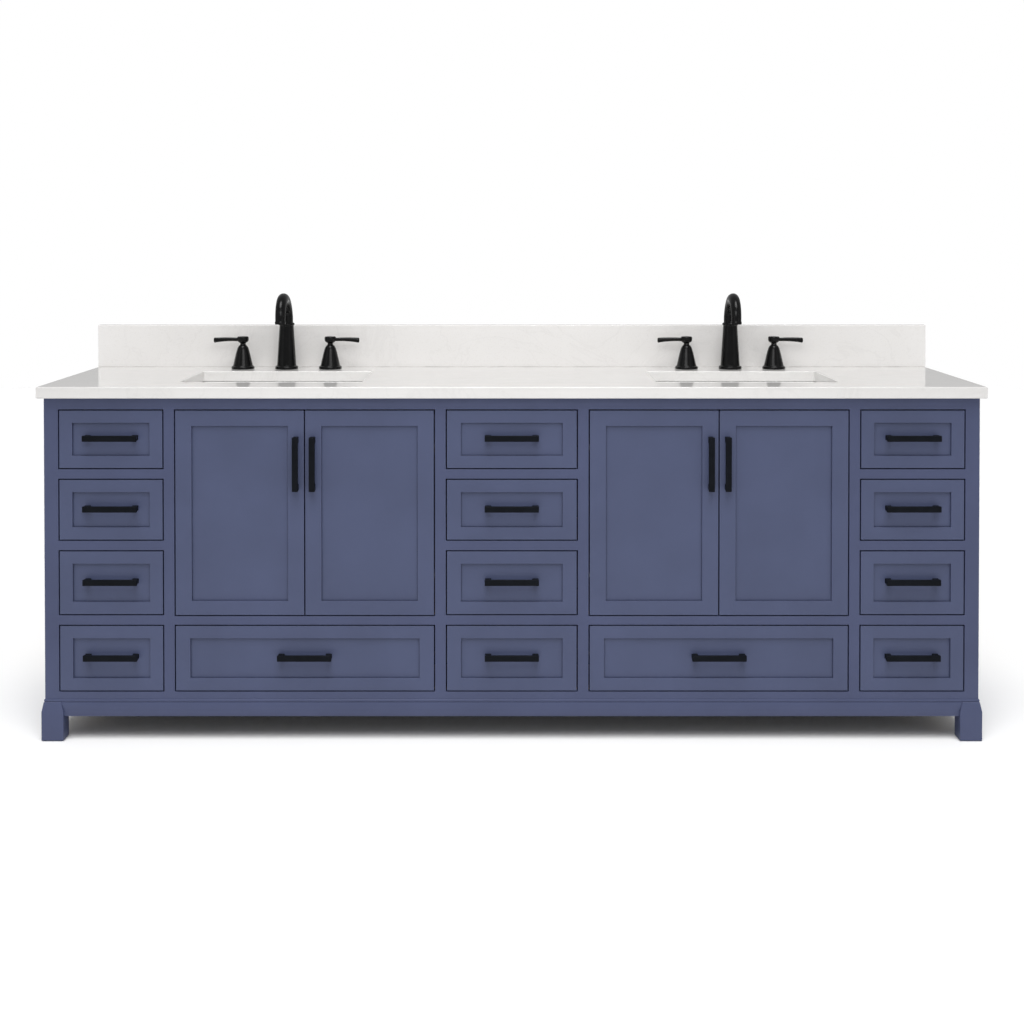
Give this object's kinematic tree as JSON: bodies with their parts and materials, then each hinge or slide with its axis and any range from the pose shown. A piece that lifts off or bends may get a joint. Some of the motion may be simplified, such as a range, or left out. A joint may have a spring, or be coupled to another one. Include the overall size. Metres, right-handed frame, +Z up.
{
  "type": "bathroom vanity cabinet",
  "caption": "Wide freestanding bathroom vanity with inset shaker doors and drawers, stone top and backsplash, undermount basins and widespread gooseneck faucets.",
  "frame": {"origin": "centre of the footprint, at floor level", "axes": "+X to the right seen from the front, +Y towards the wall behind, +Z up; the doors and drawers face -Y"},
  "size_m": [2.4384, 0.5638, 1.1375],
  "materials": {
    "slate_paint": "satin slate-blue paint over wood",
    "birch": "clear-coated birch plywood",
    "quartz": "polished white engineered stone",
    "glazed_white": "glossy white glaze",
    "matte_black": "matte black coating",
    "zinc_steel": "zinc-plated hinges and screws",
    "dark_plastic": "moulded plastic glides and nuts"
  },
  "bodies": {
    "cabinet": {"face_frame": "slate_paint", "side_panel_left": "slate_paint", "side_panel_right": "slate_paint", "back_panel": "birch", "carcass": "birch", "foot_front_left": "slate_paint", "foot_front_right": "slate_paint", "rear_base": "slate_paint", "countertop": "quartz", "backsplash": "quartz", "basin_left": "glazed_white", "basin_right": "glazed_white", "faucet_spout_left": "matte_black", "faucet_spout_right": "matte_black", "handle_base_left_hot": "matte_black", "handle_base_left_cold": "matte_black", "handle_base_right_hot": "matte_black", "handle_base_right_cold": "matte_black"},
    "drawer_left_1": {"drawer_left_1": "slate_paint", "pull_left_1": "matte_black"},
    "drawer_left_2": {"drawer_left_2": "slate_paint", "pull_left_2": "matte_black"},
    "drawer_left_3": {"drawer_left_3": "slate_paint", "pull_left_3": "matte_black"},
    "drawer_left_4": {"drawer_left_4": "slate_paint", "pull_left_4": "matte_black"},
    "drawer_center_1": {"drawer_center_1": "slate_paint", "pull_center_1": "matte_black"},
    "drawer_center_2": {"drawer_center_2": "slate_paint", "pull_center_2": "matte_black"},
    "drawer_center_3": {"drawer_center_3": "slate_paint", "pull_center_3": "matte_black"},
    "drawer_center_4": {"drawer_center_4": "slate_paint", "pull_center_4": "matte_black"},
    "drawer_right_1": {"drawer_right_1": "slate_paint", "pull_right_1": "matte_black"},
    "drawer_right_2": {"drawer_right_2": "slate_paint", "pull_right_2": "matte_black"},
    "drawer_right_3": {"drawer_right_3": "slate_paint", "pull_right_3": "matte_black"},
    "drawer_right_4": {"drawer_right_4": "slate_paint", "pull_right_4": "matte_black"},
    "drawer_wide_left": {"drawer_wide_left": "slate_paint", "pull_wide_left": "matte_black"},
    "drawer_wide_right": {"drawer_wide_right": "slate_paint", "pull_wide_right": "matte_black"},
    "door_left_inner": {"door_left_inner": "slate_paint", "pull_door_left_inner": "matte_black"},
    "door_left_outer": {"door_left_outer": "slate_paint", "pull_door_left_outer": "matte_black"},
    "door_right_inner": {"door_right_inner": "slate_paint", "pull_door_right_inner": "matte_black"},
    "door_right_outer": {"door_right_outer": "slate_paint", "pull_door_right_outer": "matte_black"},
    "lever_left_hot": {"lever_left_hot": "matte_black"},
    "lever_left_cold": {"lever_left_cold": "matte_black"},
    "lever_right_hot": {"lever_right_hot": "matte_black"},
    "lever_right_cold": {"lever_right_cold": "matte_black"},
    "drain_stopper_left": {"drain_stopper_left": "matte_black"},
    "drain_stopper_right": {"drain_stopper_right": "matte_black"}
  },
  "joints": [
    {"name": "slide_left_1", "type": "slide", "parent": "cabinet", "child": "drawer_left_1", "axis": [0, -1, 0], "range_m": [0, 0.4]},
    {"name": "slide_left_2", "type": "slide", "parent": "cabinet", "child": "drawer_left_2", "axis": [0, -1, 0], "range_m": [0, 0.4]},
    {"name": "slide_left_3", "type": "slide", "parent": "cabinet", "child": "drawer_left_3", "axis": [0, -1, 0], "range_m": [0, 0.4]},
    {"name": "slide_left_4", "type": "slide", "parent": "cabinet", "child": "drawer_left_4", "axis": [0, -1, 0], "range_m": [0, 0.4]},
    {"name": "slide_center_1", "type": "slide", "parent": "cabinet", "child": "drawer_center_1", "axis": [0, -1, 0], "range_m": [0, 0.4]},
    {"name": "slide_center_2", "type": "slide", "parent": "cabinet", "child": "drawer_center_2", "axis": [0, -1, 0], "range_m": [0, 0.4]},
    {"name": "slide_center_3", "type": "slide", "parent": "cabinet", "child": "drawer_center_3", "axis": [0, -1, 0], "range_m": [0, 0.4]},
    {"name": "slide_center_4", "type": "slide", "parent": "cabinet", "child": "drawer_center_4", "axis": [0, -1, 0], "range_m": [0, 0.4]},
    {"name": "slide_right_1", "type": "slide", "parent": "cabinet", "child": "drawer_right_1", "axis": [0, -1, 0], "range_m": [0, 0.4]},
    {"name": "slide_right_2", "type": "slide", "parent": "cabinet", "child": "drawer_right_2", "axis": [0, -1, 0], "range_m": [0, 0.4]},
    {"name": "slide_right_3", "type": "slide", "parent": "cabinet", "child": "drawer_right_3", "axis": [0, -1, 0], "range_m": [0, 0.4]},
    {"name": "slide_right_4", "type": "slide", "parent": "cabinet", "child": "drawer_right_4", "axis": [0, -1, 0], "range_m": [0, 0.4]},
    {"name": "slide_wide_left", "type": "slide", "parent": "cabinet", "child": "drawer_wide_left", "axis": [0, -1, 0], "range_m": [0, 0.4]},
    {"name": "slide_wide_right", "type": "slide", "parent": "cabinet", "child": "drawer_wide_right", "axis": [0, -1, 0], "range_m": [0, 0.4]},
    {"name": "hinge_left_inner", "type": "hinge", "parent": "cabinet", "child": "door_left_inner", "pos_m": [-0.2011, -0.2579, 0.5896], "axis": [0, 0, 1], "range_deg": [0, 90]},
    {"name": "hinge_left_outer", "type": "hinge", "parent": "cabinet", "child": "door_left_outer", "pos_m": [-0.8673, -0.2579, 0.5896], "axis": [0, 0, -1], "range_deg": [0, 90]},
    {"name": "hinge_right_inner", "type": "hinge", "parent": "cabinet", "child": "door_right_inner", "pos_m": [0.2011, -0.2579, 0.5896], "axis": [0, 0, -1], "range_deg": [0, 90]},
    {"name": "hinge_right_outer", "type": "hinge", "parent": "cabinet", "child": "door_right_outer", "pos_m": [0.8673, -0.2579, 0.5896], "axis": [0, 0, 1], "range_deg": [0, 90]},
    {"name": "turn_left_hot", "type": "hinge", "parent": "cabinet", "child": "lever_left_hot", "pos_m": [-0.7819, 0.2081, 0.9896], "axis": [0, 0, 1], "range_deg": [0, 90]},
    {"name": "turn_left_cold", "type": "hinge", "parent": "cabinet", "child": "lever_left_cold", "pos_m": [-0.5279, 0.2081, 0.9896], "axis": [0, 0, -1], "range_deg": [0, 90]},
    {"name": "turn_right_hot", "type": "hinge", "parent": "cabinet", "child": "lever_right_hot", "pos_m": [0.508, 0.2081, 0.9896], "axis": [0, 0, 1], "range_deg": [0, 90]},
    {"name": "turn_right_cold", "type": "hinge", "parent": "cabinet", "child": "lever_right_cold", "pos_m": [0.762, 0.2081, 0.9896], "axis": [0, 0, -1], "range_deg": [0, 90]},
    {"name": "lift_left", "type": "slide", "parent": "cabinet", "child": "drain_stopper_left", "axis": [0, 0, 1], "range_m": [0, 0.01]},
    {"name": "lift_right", "type": "slide", "parent": "cabinet", "child": "drain_stopper_right", "axis": [0, 0, 1], "range_m": [0, 0.01]}
  ]
}
